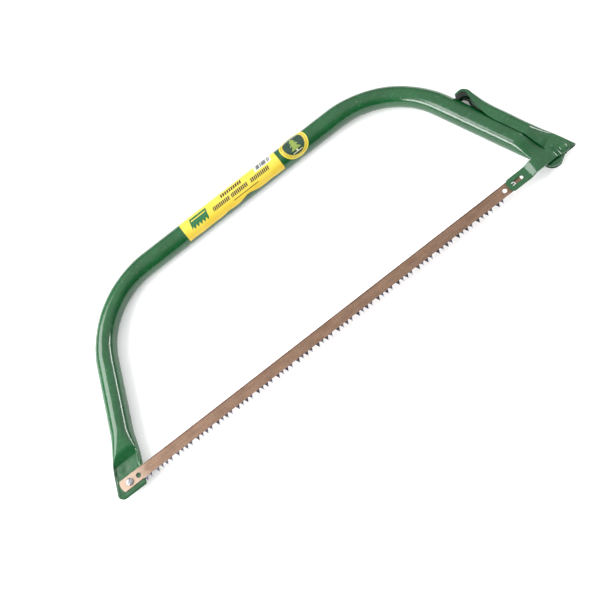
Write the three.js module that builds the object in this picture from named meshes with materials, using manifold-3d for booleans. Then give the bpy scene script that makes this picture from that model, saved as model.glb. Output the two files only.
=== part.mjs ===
// Bow saw with a 600 mm blade, lying on its side: a bent steel tube bow, a toothed blade held at
// the left by a screw, and at the right by a strap and an over-centre tension lever.
// Millimetres, +Z up. The saw is laid out from its blade screw: X runs along the blade, Y from the
// blade to the top bar. At the end it is moved so that the origin is the bottom centre of its box.

import * as THREE from 'three';
import { mergeVertices } from 'three/addons/utils/BufferGeometryUtils.js';
import Module from 'manifold-3d';

const wasm = await Module();
wasm.setup();

// ---------------------------------------------------------------- driving dimensions

const BLADE_SPAN = 600;            // between the two end holes of the blade
const TUBE_RADIUS = 15;
const TUBE_WALL = 1.5;
const TUBE_SIDES = 24;
const MID_Z = TUBE_RADIUS;         // the plane of the bow, half a tube above the floor
const LEG_ANGLE = THREE.MathUtils.degToRad(68.8);
const BAR_Y = 226.8;               // centre of the top bar
const BEND_RADIUS = 126;
const BEND_SQUEEZE = 1.2;          // how far bending narrows the tube's half width
const BEND_STEPS = 11;
const LEFT_LEG_X = 1.4;            // where the left leg's centreline crosses the blade line
const PIVOT = new THREE.Vector2(659, -2);        // lever pivot, on the right leg's centreline
const STRAP_PIN = new THREE.Vector2(676, -1.7);  // rivet that joins the strap to the lever

const GAP = 0.3;                   // between pieces that touch
const FLAT_HALF = 2;               // half the thickness of the tube's pressed ends

const BLADE_THICK = 0.9;
const BLADE_Z = MID_Z + FLAT_HALF + 0.5;         // underside of the blade
const BLADE_TOP = BLADE_Z + BLADE_THICK;
const BLADE_BACK_Y = 8.2;
const TOOTH_ROOT_Y = -7.2;
const TOOTH_TIP_Y = -13.4;
const BLADE_HOLE_RADIUS = 3;
const SPARE_HOLE_OFFSET = 13.5;    // second hole, inboard of each end hole
const TOOTH_PITCH = 6.8;
const TEETH_PER_GROUP = 4;
const GROUP_PITCH = 31.2;
const GROUPS = 19;
const FIRST_GROUP_X = 6.9;
const TOOTHED = [20, 580];         // no teeth outside this stretch

const LEVER_WALL = 1.2;
const LEVER_PLATE_HALF = 3.9;      // half the lever's thickness at its pivot
const LEVER_TROUGH_HALF = 14.9;    // half its thickness where it wraps round the tube
const LEVER_SLOPE_START = 16;      // distance from the pivot where the plates begin to spread
const LEVER_SLOPE_END = 42;
const LEVER_EAR_RADIUS = 13.6;

const STRAP_THICK = 2;
const STRAP_HALF = 9;
const STRAP_NOSE_Z = BLADE_TOP + 0.4;
const STRAP_BRIDGE_Z = MID_Z + 9;
const STRAP_REST_Z = MID_Z + LEVER_PLATE_HALF + GAP;

const SCREW_RADIUS = 2.4;
const RIVET_RADIUS = 3;

// ---------------------------------------------------------------- helpers

function sheet(color, roughness, metalness) {
  return new THREE.MeshStandardMaterial({ color, roughness, metalness });
}

function piece(name, geometry, material) {
  geometry.computeVertexNormals();
  const mesh = new THREE.Mesh(geometry, material);
  mesh.name = name;
  return mesh;
}

function toSolid(geometry) {
  const bare = geometry.clone();
  bare.deleteAttribute('normal');
  bare.deleteAttribute('uv');
  const merged = mergeVertices(bare, 1e-4);
  const corners = merged.index.array;
  const triangles = [];
  for (let start = 0; start < corners.length; start += 3) {
    const [a, b, c] = corners.slice(start, start + 3);
    if (a !== b && b !== c && c !== a) triangles.push(a, b, c);
  }
  return new wasm.Manifold(new wasm.Mesh({
    numProp: 3,
    vertProperties: new Float32Array(merged.attributes.position.array),
    triVerts: new Uint32Array(triangles),
  }));
}

function toGeometry(solid) {
  const mesh = solid.getMesh();
  const geometry = new THREE.BufferGeometry();
  geometry.setAttribute('position', new THREE.BufferAttribute(mesh.vertProperties, 3));
  geometry.setIndex(new THREE.BufferAttribute(mesh.triVerts, 1));
  return geometry;
}

// A flat outline raised from z = low to z = high.
function slab(shape, low, high, curveSegments = 10) {
  const depth = high - low;
  const geometry = new THREE.ExtrudeGeometry(shape, { depth, bevelEnabled: false, curveSegments });
  return toSolid(geometry.translate(0, 0, low));
}

// An upright round bar.
function upright(x, y, radius, low, high, sides = 24) {
  const bar = new THREE.CylinderGeometry(radius, radius, high - low, sides);
  bar.rotateX(Math.PI / 2);
  return toSolid(bar.translate(x, y, (low + high) / 2));
}

// A turned piece: profile of [radius, z] that starts and ends on the axis.
function turned(profile, x, y, sides = 24) {
  const points = profile.map(([radius, z]) => new THREE.Vector2(radius, z));
  const geometry = new THREE.LatheGeometry(points, sides);
  geometry.rotateX(Math.PI / 2);
  return toSolid(geometry.translate(x, y, 0));
}

// A dome of [radius, z] points that rises from its rim to its crown on the axis.
function dome(radius, low, high, steps = 4) {
  const points = [];
  for (let step = 0; step <= steps; step++) {
    const angle = (step / steps) * (Math.PI / 2);
    points.push([step === steps ? 0 : radius * Math.cos(angle), low + (high - low) * Math.sin(angle)]);
  }
  return points;
}

// Joins rings of points, all of one count and each with an upper and a lower half in mirrored
// order, into a closed skin. Rings run anticlockwise when seen from behind the direction of travel.
function skin(rings) {
  const count = rings[0].length;
  const last = (rings.length - 1) * count;
  const positions = rings.flat().flatMap((point) => [point.x, point.y, point.z]);
  const index = [];
  for (let start = 0; start < last; start += count) {
    for (let side = 0; side < count; side++) {
      const a = start + side;
      const b = start + ((side + 1) % count);
      index.push(a, b + count, b, a, a + count, b + count);
    }
  }
  for (let a = 0; a + 1 < count / 2; a++) {
    const b = a + 1;
    const c = count - 1 - b;
    const d = count - 1 - a;
    index.push(a, b, c, a, c, d);
    index.push(last + a, last + c, last + b, last + a, last + d, last + c);
  }
  const geometry = new THREE.BufferGeometry();
  geometry.setAttribute('position', new THREE.Float32BufferAttribute(positions, 3));
  geometry.setIndex(index);
  return geometry;
}

// ---------------------------------------------------------------- bow tube

const LEFT_END_Y = -14;
const LEFT_CORNER_RADIUS = 12;
const LEFT_CREASE_Y = 26;          // where the blade's pocket meets the slope up to the round tube
const LEFT_SLOPE = 0.72;
const LEFT_WIDE = 19.8;            // half the width of the pressed left end
const LEFT_SHIFT = -1.2;           // how far pressing moves its middle out of the leg's line
const LEFT_BEAD_HALF = 3.4;        // half the thickness of the folded beads at the tube's end
const LEFT_POCKET_HALF = 16.5;     // half the width of the pocket between the beads
const BEAD_END_Y = 12;             // below here the bead on the bow's side is pressed flat as well
const RIGHT_WIDE = 13.2;            // half the width of the tube's round right end
const RIGHT_SLOPE_START = 18;      // distance from the pivot where the tube begins to swell
const RIGHT_SLOPE_END = 49;

const legAlong = new THREE.Vector2(Math.cos(LEG_ANGLE), Math.sin(LEG_ANGLE));
const roundness = 1 / Math.cos(Math.PI / TUBE_SIDES);   // puts the flats of the tube on its radius
const { lerp, smoothstep } = THREE.MathUtils;

// The half height that a tube pressed to a half width has, with its girth unchanged.
function pressedHalf(wide) {
  return (2 * Math.PI * TUBE_RADIUS - 4 * wide) / (2 * Math.PI - 4);
}

// Half the height of a flattened tube at the distance u from its middle.
function ovalHalf(u, wide, round) {
  const past = Math.abs(u) - (wide - round);
  if (past <= 0) return round;
  return round * Math.sqrt(Math.max(0, 1 - (past / round) ** 2));
}

// How far a rounded corner of the given radius draws in, at a distance past its start.
function cornerInset(past, radius) {
  return past > 0 ? radius - Math.sqrt(Math.max(0, radius ** 2 - past ** 2)) : 0;
}

// A station is a cross-section of the tube: its centre, the direction of its width, half its width
// on either side, and half its height at a point, for the outer (wall 0) and the inner surface.
function leftStation(y) {
  const press = 1 - smoothstep(y, 18, 62);
  const turn = 1 - smoothstep(y, 28, 78);
  const square = new THREE.Vector2(legAlong.y, -legAlong.x);
  const level = new THREE.Vector2(1 / legAlong.y, 0);
  const legX = LEFT_LEG_X + y / Math.tan(LEG_ANGLE);
  const wide = lerp(TUBE_RADIUS, LEFT_WIDE, press);
  const round = lerp(LEFT_BEAD_HALF, pressedHalf(wide), smoothstep(y, 2, 34));
  const inset = cornerInset(LEFT_END_Y + LEFT_CORNER_RADIUS - y, LEFT_CORNER_RADIUS);
  return {
    centre: new THREE.Vector2(legX + (LEFT_SHIFT * press) / legAlong.y, y),
    side: square.lerp(level, turn),
    wide: [wide - inset, wide],
    swell: press > 0 ? 1 : roundness,
    half: (u, pointY, wall) => {
      const oval = ovalHalf(u, wide - wall, round - wall);
      const pocket = FLAT_HALF - wall + LEFT_SLOPE * Math.max(0, pointY - LEFT_CREASE_Y);
      const bead = Math.abs(u) + wall > LEFT_POCKET_HALF && !(u > 0 && pointY < BEAD_END_Y);
      return bead ? oval : Math.min(oval, pocket);
    },
  };
}

function rightStation(along) {
  const part = (along - RIGHT_SLOPE_START) / (RIGHT_SLOPE_END - RIGHT_SLOPE_START);
  const round = lerp(FLAT_HALF, TUBE_RADIUS, THREE.MathUtils.clamp(part, 0, 1));
  const full = lerp(RIGHT_WIDE, TUBE_RADIUS, smoothstep(along, 0, 18));
  const wide = full - cornerInset(-along, RIGHT_WIDE);
  return {
    centre: new THREE.Vector2(PIVOT.x - legAlong.x * along, PIVOT.y + legAlong.y * along),
    side: new THREE.Vector2(-legAlong.y, -legAlong.x),
    wide: [wide, wide],
    swell: roundness,
    half: (u, pointY, wall) => ovalHalf(u, wide - wall, Math.min(round, wide) - wall),
  };
}

// The bends join the legs to the bar; sign is -1 at the left and 1 at the right.
function bendStations(sign) {
  const leftCorner = LEFT_LEG_X + BAR_Y / Math.tan(LEG_ANGLE);
  const rightCorner = PIVOT.x - (BAR_Y - PIVOT.y) / Math.tan(LEG_ANGLE);
  const tangent = BEND_RADIUS * Math.tan(LEG_ANGLE / 2);
  const centreX = sign < 0 ? leftCorner + tangent : rightCorner - tangent;
  const stations = [];
  for (let step = 0; step <= BEND_STEPS; step++) {
    const part = sign < 0 ? 1 - step / BEND_STEPS : step / BEND_STEPS;
    const out = new THREE.Vector2(sign * Math.sin(LEG_ANGLE * part), Math.cos(LEG_ANGLE * part));
    const wide = TUBE_RADIUS - BEND_SQUEEZE * smoothstep(Math.sin(Math.PI * part), 0, 0.8);
    stations.push({
      centre: new THREE.Vector2(centreX, BAR_Y - BEND_RADIUS).addScaledVector(out, BEND_RADIUS),
      side: out.negate(),
      wide: [wide, wide],
      swell: roundness,
      half: (u, pointY, wall) => (TUBE_RADIUS - wall) * Math.sqrt(1 - (u / (wide - wall)) ** 2),
    });
  }
  return stations;
}

function tubeRing(station, wall) {
  const points = [];
  for (let step = 0; step < TUBE_SIDES; step++) {
    const angle = ((step + 0.5) / TUBE_SIDES) * 2 * Math.PI;
    const across = Math.cos(angle);
    const wide = station.wide[across < 0 ? 0 : 1] - wall;
    const x = station.centre.x + station.side.x * wide * across * roundness;
    const y = station.centre.y + station.side.y * wide * across * roundness;
    const height = station.half(wide * across, y, wall) * station.swell;
    points.push(new THREE.Vector3(x, y, MID_Z + height * Math.sign(Math.sin(angle))));
  }
  return points;
}

function tubeSkin(stations, wall) {
  const rings = stations.map((station) => tubeRing(station, wall));
  if (wall > 0) {
    // The hollow runs out through both ends.
    const out = new THREE.Vector3(0, -3, 0);
    rings.unshift(rings[0].map((point) => point.clone().add(out)));
    rings.push(rings.at(-1).map((point) => point.clone().add(out)));
  }
  return toSolid(skin(rings));
}

function frameTube() {
  const leftY = [
    -14, -13, -11, -8.5, -5.5, -2, 5, 11.5, 12.5, 18, 23, 26, 28.5, 31, 34, 37, 41, 46, 52, 62, 70, 80,
  ];
  const rightAlong = [70, 49, 44, 38, 32, 27, 22, 18, 12, 7, 0, -4, -7, -9.5, -11.5, -12.8];
  const stations = [
    ...leftY.map(leftStation),
    ...bendStations(-1),
    ...bendStations(1),
    ...rightAlong.map(rightStation),
  ];
  return tubeSkin(stations, 0)
    .subtract(tubeSkin(stations, TUBE_WALL))
    .subtract(upright(0, 0, SCREW_RADIUS + GAP, 0, 2 * TUBE_RADIUS))
    .subtract(upright(PIVOT.x, PIVOT.y, RIVET_RADIUS + GAP, 0, 2 * TUBE_RADIUS));
}

// ---------------------------------------------------------------- blade

// The teeth's points follow one another along the lower edge, in groups with a plain stretch
// between them.
function bladeShape() {
  const cornerX = -11.5;
  const toothHalf = 2.9;
  const tipHalf = 0.2;
  const shape = new THREE.Shape();
  shape.moveTo(cornerX, TOOTH_ROOT_Y);
  for (let group = 0; group < GROUPS; group++) {
    for (let tooth = 0; tooth < TEETH_PER_GROUP; tooth++) {
      const tip = FIRST_GROUP_X + group * GROUP_PITCH + tooth * TOOTH_PITCH;
      if (tip < TOOTHED[0] || tip > TOOTHED[1]) continue;
      shape.lineTo(tip - toothHalf, TOOTH_ROOT_Y);
      shape.lineTo(tip - tipHalf, TOOTH_TIP_Y);
      shape.lineTo(tip + tipHalf, TOOTH_TIP_Y);
      shape.lineTo(tip + toothHalf, TOOTH_ROOT_Y);
    }
  }
  const end = BLADE_SPAN + 11.5;
  shape.lineTo(end - 3, TOOTH_ROOT_Y);
  shape.quadraticCurveTo(end, TOOTH_ROOT_Y, end, TOOTH_ROOT_Y + 3);
  shape.lineTo(end, BLADE_BACK_Y - 3);
  shape.quadraticCurveTo(end, BLADE_BACK_Y, end - 3, BLADE_BACK_Y);
  shape.lineTo(cornerX, BLADE_BACK_Y);
  const bulgeX = cornerX - 3.6;
  const bulgeY = (BLADE_BACK_Y + TOOTH_ROOT_Y) / 2;
  shape.quadraticCurveTo(bulgeX, bulgeY, cornerX, TOOTH_ROOT_Y);
  const holes = [0, SPARE_HOLE_OFFSET, BLADE_SPAN - SPARE_HOLE_OFFSET, BLADE_SPAN];
  for (const x of holes) {
    const hole = new THREE.Path();
    hole.absarc(x, 0, BLADE_HOLE_RADIUS, 0, 2 * Math.PI, true);
    shape.holes.push(hole);
  }
  return shape;
}

function blade() {
  return slab(bladeShape(), BLADE_Z, BLADE_TOP, 8);
}

// ---------------------------------------------------------------- blade screw, washer and nut

const SCREW_HEAD_RADIUS = 4.7;
const SCREW_HEAD_Z = BLADE_TOP + GAP;
const WASHER_THICK = 1;
const WASHER_Z = MID_Z - FLAT_HALF - GAP - WASHER_THICK;
const NUT_THICK = 4;
const NUT_Z = WASHER_Z - GAP - NUT_THICK;
const NUT_ACROSS_FLATS = 8;

function bladeScrew() {
  const tip = NUT_Z - 1;
  const slotHalf = 0.6;
  const profile = [
    [0, tip],
    [SCREW_RADIUS - 0.4, tip],
    [SCREW_RADIUS, tip + 0.4],
    [SCREW_RADIUS, SCREW_HEAD_Z],
    [SCREW_HEAD_RADIUS, SCREW_HEAD_Z],
    [SCREW_HEAD_RADIUS, SCREW_HEAD_Z + 1.4],
    ...dome(SCREW_HEAD_RADIUS - 0.2, SCREW_HEAD_Z + 1.6, SCREW_HEAD_Z + 3, 3),
  ];
  const slot = new THREE.BoxGeometry(3 * SCREW_HEAD_RADIUS, 2 * slotHalf, 2.4);
  slot.translate(0, 0, SCREW_HEAD_Z + 2.8);
  return turned(profile, 0, 0).subtract(toSolid(slot));
}

function screwWasher() {
  const shape = new THREE.Shape();
  shape.absarc(0, 0, 5, 0, 2 * Math.PI);
  const hole = new THREE.Path();
  hole.absarc(0, 0, SCREW_RADIUS + GAP, 0, 2 * Math.PI, true);
  shape.holes.push(hole);
  return slab(shape, WASHER_Z, WASHER_Z + WASHER_THICK, 12);
}

function bladeNut() {
  const shape = new THREE.Shape();
  const cornerRadius = NUT_ACROSS_FLATS / 2 / Math.cos(Math.PI / 6);
  for (let corner = 0; corner < 6; corner++) {
    const angle = (corner / 6) * 2 * Math.PI;
    const x = cornerRadius * Math.cos(angle);
    const y = cornerRadius * Math.sin(angle);
    if (corner === 0) shape.moveTo(x, y);
    else shape.lineTo(x, y);
  }
  shape.closePath();
  const hole = new THREE.Path();
  hole.absarc(0, 0, SCREW_RADIUS + GAP, 0, 2 * Math.PI, true);
  shape.holes.push(hole);
  return slab(shape, NUT_Z, NUT_Z + NUT_THICK, 12);
}

// ---------------------------------------------------------------- tension lever

// The lever is one pressed sheet: a trough over the outside of the leg, whose web follows these
// stations. Each has the web's distance along the leg from the pivot and its distance out from the
// leg's middle, the depth of the side flanges, half the trough's width and its corner radius.
const LEVER_STATIONS = [
  [-24, 28, 31, LEVER_PLATE_HALF, 2],
  [4, 28.2, 26, LEVER_PLATE_HALF, 2],
  [LEVER_SLOPE_START, 27.9, 23.2, LEVER_PLATE_HALF, 2.5],
  [29, 26.2, 20.7, (LEVER_PLATE_HALF + LEVER_TROUGH_HALF) / 2, 6],
  [LEVER_SLOPE_END, 25, 18.2, LEVER_TROUGH_HALF, 9],
  [57, 25, 18.2, LEVER_TROUGH_HALF, 9],
  [73, 25.4, 18.2, LEVER_TROUGH_HALF, 9],
  [84, 25.6, 18.6, LEVER_TROUGH_HALF, 9],
  [95, 25.6, 17.4, LEVER_TROUGH_HALF, 9],
  [111, 26.4, 13.6, LEVER_TROUGH_HALF, 8],
  [127, 28.8, 8.6, 14.5, 6],
  [137, 30.2, 5, 14, 3.5],
  [145.6, 26.5, 4, 13.5, 3],
  [149.2, 16.8, 3.4, 13, 2.6],
];
const LEVER_END_Y = -7.5;          // the plates' end edge runs level with the blade

const leverAlong = new THREE.Vector2(-legAlong.x, legAlong.y);
const leverOut = new THREE.Vector2(legAlong.y, legAlong.x);

function leverRing(centre, inward, depth, half, corner) {
  const arcSteps = 3;
  const line = (offset) => {
    const radius = Math.max(Math.min(corner, depth) - offset, 0.4);
    const points = [[depth, half - offset]];
    for (let step = 0; step <= arcSteps; step++) {
      const angle = (step / arcSteps) * (Math.PI / 2);
      const inset = offset + radius * (1 - Math.sin(angle));
      points.push([inset, half - offset - radius * (1 - Math.cos(angle))]);
    }
    return [...points, ...points.toReversed().map(([inset, height]) => [inset, -height])];
  };
  const outline = [...line(0), ...line(LEVER_WALL).toReversed()].toReversed();
  return outline.map(([inset, height]) => new THREE.Vector3(
    centre.x + inward.x * inset,
    centre.y + inward.y * inset,
    MID_Z + height,
  ));
}

function leverTrough() {
  const stepsPerStation = 3;
  const points = LEVER_STATIONS.map(([along, out]) => PIVOT.clone()
    .addScaledVector(leverAlong, along)
    .addScaledVector(leverOut, out));
  const spine = new THREE.SplineCurve(points);
  const last = points.length - 1;
  const rings = [];
  for (let step = 0; step <= last * stepsPerStation; step++) {
    const place = step / stepsPerStation;
    const index = Math.min(Math.floor(place), last - 1);
    const from = LEVER_STATIONS[index];
    const to = LEVER_STATIONS[index + 1];
    const [depth, half, corner] = [2, 3, 4].map((slot) => lerp(from[slot], to[slot], place - index));
    const tangent = spine.getTangent(place / last);
    const inward = new THREE.Vector2(-tangent.y, tangent.x);
    rings.push(leverRing(spine.getPoint(place / last), inward, depth, half, corner));
  }
  return toSolid(skin(rings));
}

// The ears carry the pivot. Their outline swings from the plates' end edge round the pivot.
function leverEar(low, high) {
  const shape = new THREE.Shape();
  const radius = LEVER_EAR_RADIUS;
  const startAngle = -1.25;
  shape.moveTo(PIVOT.x + 16, LEVER_END_Y);
  shape.lineTo(PIVOT.x + radius * Math.cos(startAngle), PIVOT.y + radius * Math.sin(startAngle));
  shape.absarc(PIVOT.x, PIVOT.y, radius, startAngle, 2.2 - 2 * Math.PI, true);
  shape.lineTo(PIVOT.x + 12, PIVOT.y + 12);
  shape.closePath();
  return slab(shape, low, high, 20);
}

function tensionLever() {
  const plateTop = MID_Z + LEVER_PLATE_HALF;
  const plateBottom = MID_Z - LEVER_PLATE_HALF;
  const below = new THREE.BoxGeometry(120, 60, 40);
  below.translate(PIVOT.x + 20, LEVER_END_Y - 30, MID_Z);
  return leverTrough()
    .subtract(toSolid(below))
    .add(leverEar(plateTop - LEVER_WALL, plateTop))
    .add(leverEar(plateBottom, plateBottom + LEVER_WALL))
    .subtract(upright(PIVOT.x, PIVOT.y, RIVET_RADIUS + GAP, 0, 28))
    .subtract(upright(STRAP_PIN.x, STRAP_PIN.y, RIVET_RADIUS + GAP, 0, 28));
}

// ---------------------------------------------------------------- strap

const STRAP_NOSE_X = BLADE_SPAN - 7.5;
const STRAP_RISE = [623, 631.5];   // where the strap steps up over the lever's pivot
const STRAP_FALL = [661.5, 668.5]; // and down again to the lever's plate
const STRAP_SLOT = [598, 615];
const STRAP_SLOT_HALF = 2.6;

function strapSide() {
  const end = STRAP_PIN.x + STRAP_HALF;
  const under = [
    [STRAP_NOSE_X, STRAP_NOSE_Z],
    [STRAP_RISE[0], STRAP_NOSE_Z],
    [STRAP_RISE[1], STRAP_BRIDGE_Z],
    [STRAP_FALL[0], STRAP_BRIDGE_Z],
    [STRAP_FALL[1], STRAP_REST_Z],
    [end, STRAP_REST_Z],
  ];
  const over = under.map(([x, z]) => [x, z + STRAP_THICK]).toReversed();
  const shape = new THREE.Shape([...under, ...over].map(([x, z]) => new THREE.Vector2(x, z)));
  const depth = 2 * STRAP_HALF;
  const geometry = new THREE.ExtrudeGeometry(shape, { depth, bevelEnabled: false });
  geometry.rotateX(Math.PI / 2);
  return toSolid(geometry.translate(0, STRAP_HALF, 0));
}

function strapPlan() {
  const nose = 5;
  const lift = STRAP_PIN.y;
  const shape = new THREE.Shape();
  shape.moveTo(STRAP_NOSE_X + nose, -STRAP_HALF);
  shape.lineTo(STRAP_RISE[1], -STRAP_HALF);
  shape.lineTo(STRAP_PIN.x, lift - STRAP_HALF + 0.3);
  shape.absarc(STRAP_PIN.x, lift, STRAP_HALF - 0.3, -Math.PI / 2, Math.PI / 2);
  shape.lineTo(STRAP_RISE[1], STRAP_HALF);
  shape.lineTo(STRAP_NOSE_X + nose, STRAP_HALF);
  shape.quadraticCurveTo(STRAP_NOSE_X, STRAP_HALF, STRAP_NOSE_X, STRAP_HALF - nose);
  shape.lineTo(STRAP_NOSE_X, -STRAP_HALF + nose);
  shape.quadraticCurveTo(STRAP_NOSE_X, -STRAP_HALF, STRAP_NOSE_X + nose, -STRAP_HALF);
  return slab(shape, MID_Z, 2 * TUBE_RADIUS, 8);
}

function slotCutter() {
  const radius = STRAP_SLOT_HALF;
  const shape = new THREE.Shape();
  shape.moveTo(STRAP_SLOT[0], -radius);
  shape.absarc(STRAP_SLOT[1] - radius, 0, radius, -Math.PI / 2, Math.PI / 2);
  shape.lineTo(STRAP_SLOT[0], radius);
  shape.closePath();
  return slab(shape, MID_Z, 2 * TUBE_RADIUS, 6);
}

// The tongue is lanced out of the slot and bent down into the blade's end hole.
function tongue() {
  const half = 1.3;
  const top = STRAP_NOSE_Z + STRAP_THICK;
  const points = [
    [STRAP_SLOT[0] - 1, STRAP_NOSE_Z + 0.1],
    [STRAP_SLOT[0] + 1.6, STRAP_NOSE_Z - 0.3],
    [STRAP_SLOT[0] + 2.2, BLADE_Z - 0.1],
    [STRAP_SLOT[0] + 4.2, BLADE_Z - 0.1],
    [STRAP_SLOT[0] + 4.2, STRAP_NOSE_Z],
    [STRAP_SLOT[0] + 2.8, top - 0.7],
    [STRAP_SLOT[0] - 1, top - 0.1],
  ];
  const shape = new THREE.Shape(points.map(([x, z]) => new THREE.Vector2(x, z)));
  const geometry = new THREE.ExtrudeGeometry(shape, { depth: 2 * half, bevelEnabled: false });
  geometry.rotateX(Math.PI / 2);
  return toSolid(geometry.translate(0, half, 0));
}

function bladeStrap() {
  return strapSide()
    .intersect(strapPlan())
    .subtract(slotCutter())
    .subtract(upright(STRAP_PIN.x, STRAP_PIN.y, RIVET_RADIUS + GAP, 0, 28))
    .add(tongue());
}

// ---------------------------------------------------------------- rivets

// A rivet with a domed head above z = high and one below z = low.
function rivet(place, low, high, headRadius, headHeight) {
  const upper = dome(headRadius, high, high + headHeight);
  const lower = upper.map(([radius, z]) => [radius, low + high - z]).toReversed();
  const profile = [...lower, [RIVET_RADIUS, low], [RIVET_RADIUS, high], ...upper];
  return turned(profile, place.x, place.y);
}

function leverRivet() {
  const half = LEVER_PLATE_HALF + GAP;
  return rivet(PIVOT, MID_Z - half, MID_Z + half, 4.8, 1.8);
}

function strapRivet() {
  const low = MID_Z - LEVER_PLATE_HALF - GAP;
  return rivet(STRAP_PIN, low, STRAP_REST_Z + STRAP_THICK + GAP, 6.2, 2.8);
}

// ---------------------------------------------------------------- labels on the top bar

const LABEL_GAP = 0.4;
const LABEL_THICK = 0.25;

// A patch laid over the top bar: halfLength gives half its length at a distance round the tube.
function wrappedPatch(centreX, halfRound, halfLength, steps) {
  const inner = TUBE_RADIUS + LABEL_GAP;
  const rings = [];
  for (let step = 0; step <= steps; step++) {
    const round = halfRound * Math.cos((step / steps) * Math.PI);
    const angle = round / inner;
    const half = halfLength(round);
    const corner = (radius, x) => new THREE.Vector3(
      x,
      BAR_Y + radius * Math.sin(angle),
      MID_Z + radius * Math.cos(angle),
    );
    rings.push([
      corner(inner + LABEL_THICK, centreX - half),
      corner(inner + LABEL_THICK, centreX + half),
      corner(inner, centreX + half),
      corner(inner, centreX - half),
    ]);
  }
  return toSolid(skin(rings));
}

const productLabel = () => wrappedPatch(316.3, 17.5, () => 78, 14);

function roundSticker() {
  const radius = 20.5;
  const halfLength = (round) => Math.sqrt(Math.max(0.04, radius ** 2 - round ** 2));
  return wrappedPatch(421, radius, halfLength, 20);
}

// ---------------------------------------------------------------- assembly

const paint = [0x2b6638, 0.28, 0.1];
const saw = new THREE.Group();
saw.add(
  piece('frame_tube', toGeometry(frameTube()), sheet(...paint)),
  piece('tension_lever', toGeometry(tensionLever()), sheet(...paint)),
  piece('blade_strap', toGeometry(bladeStrap()), sheet(...paint)),
  piece('lever_rivet', toGeometry(leverRivet()), sheet(...paint)),
  piece('strap_rivet', toGeometry(strapRivet()), sheet(...paint)),
  piece('blade', toGeometry(blade()), sheet(0xa5846e, 0.35, 0.7)),
  piece('blade_screw', toGeometry(bladeScrew()), sheet(0xd8dbdc, 0.3, 0.9)),
  piece('screw_washer', toGeometry(screwWasher()), sheet(0xb9bdc0, 0.4, 0.9)),
  piece('blade_nut', toGeometry(bladeNut()), sheet(0xc4c8ca, 0.35, 0.9)),
  piece('product_label', toGeometry(productLabel()), sheet(0xf6dd4a, 0.5, 0)),
  piece('round_sticker', toGeometry(roundSticker()), sheet(0xe8cf3c, 0.5, 0)),
);

const box = new THREE.Box3().setFromObject(saw);
const middle = box.getCenter(new THREE.Vector3());
saw.position.set(-middle.x, -middle.y, -box.min.z);
const part = new THREE.Group();
part.add(saw);
part.updateMatrixWorld(true);

export default part;
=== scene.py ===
"""Looks for the bow saw: a painted steel bow, a lacquered blade and a painted tension lever.

Shapes are written in millimetres in the saw's own layout, with X along the blade from its screw, Y from
the blade to the top bar and Z up, and place() moves them into the frame.
"""

import math
import random

import bmesh
import bpy
from mathutils import Matrix, Vector


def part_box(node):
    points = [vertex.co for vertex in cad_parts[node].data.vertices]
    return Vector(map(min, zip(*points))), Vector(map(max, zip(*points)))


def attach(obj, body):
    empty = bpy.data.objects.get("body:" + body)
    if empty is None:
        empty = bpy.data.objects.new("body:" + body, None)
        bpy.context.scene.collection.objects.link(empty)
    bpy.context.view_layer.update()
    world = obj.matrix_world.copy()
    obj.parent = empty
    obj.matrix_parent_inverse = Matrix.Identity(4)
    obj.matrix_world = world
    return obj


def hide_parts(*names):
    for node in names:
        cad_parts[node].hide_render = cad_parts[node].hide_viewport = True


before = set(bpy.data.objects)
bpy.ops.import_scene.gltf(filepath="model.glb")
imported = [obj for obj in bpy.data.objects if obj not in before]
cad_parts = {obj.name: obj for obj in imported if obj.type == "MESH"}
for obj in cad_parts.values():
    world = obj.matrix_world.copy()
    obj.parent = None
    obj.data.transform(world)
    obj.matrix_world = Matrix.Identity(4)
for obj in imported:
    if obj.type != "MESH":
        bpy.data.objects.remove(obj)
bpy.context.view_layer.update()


screw_low, screw_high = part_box("blade_screw")
ORIGIN = Vector(((screw_low.x + screw_high.x) / 2, (screw_low.y + screw_high.y) / 2, 0))
MM = 0.001

# ---------------------------------------------------------------- dimensions, as the frame has them

TUBE_RADIUS = 15
TUBE_WALL = 1.5
MID_Z = 15                         # the height of the tube's centre line
LEG_ANGLE = math.radians(68.8)
BAR_Y = 226.8
BEND_RADIUS = 126
LEFT_LEG_X = 1.4                   # where the left leg's centre line meets the blade line
PIVOT = (659, -2)                  # the lever's rivet
STRAP_PIN = (676, -1.7)            # the strap's rivet
FLAT_HALF = 2                      # half the thickness of the tube's pressed ends
BLADE_SPAN = 600                   # between the end holes
BLADE_Z = 17.5                     # the blade's underside
BLADE_THICK = 0.9
BLADE_TOP = BLADE_Z + BLADE_THICK
BLADE_BACK_Y = 8.2
TOOTH_ROOT_Y = -7.2

ALONG = Vector((math.cos(LEG_ANGLE), math.sin(LEG_ANGLE)))

# ---------------------------------------------------------------- mesh helpers


def place(x, y, z):
    """A point in the saw's millimetres, as a point in the frame's metres."""
    return ORIGIN + Vector((x, y, z)) * MM


def lerp(a, b, part):
    return a + (b - a) * part


def smoothstep(value, low, high):
    part = min(max((value - low) / (high - low), 0), 1)
    return part * part * (3 - 2 * part)


def soft_min(a, b, blend):
    part = min(max(0.5 + 0.5 * (b - a) / blend, 0), 1)
    return lerp(b, a, part) - blend * part * (1 - part)


def piece(name, points, faces, material, sharp=35):
    """A mesh object from points in the saw's millimetres. Edges past the sharp angle stay crisp."""
    mesh = bpy.data.meshes.new(name)
    mesh.from_pydata([place(*point) for point in points], [], faces)
    if material:
        mesh.materials.append(material)
    mesh.update()
    finish_mesh(mesh, sharp)
    made = bpy.data.objects.new(name, mesh)
    bpy.context.scene.collection.objects.link(made)
    return made


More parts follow.
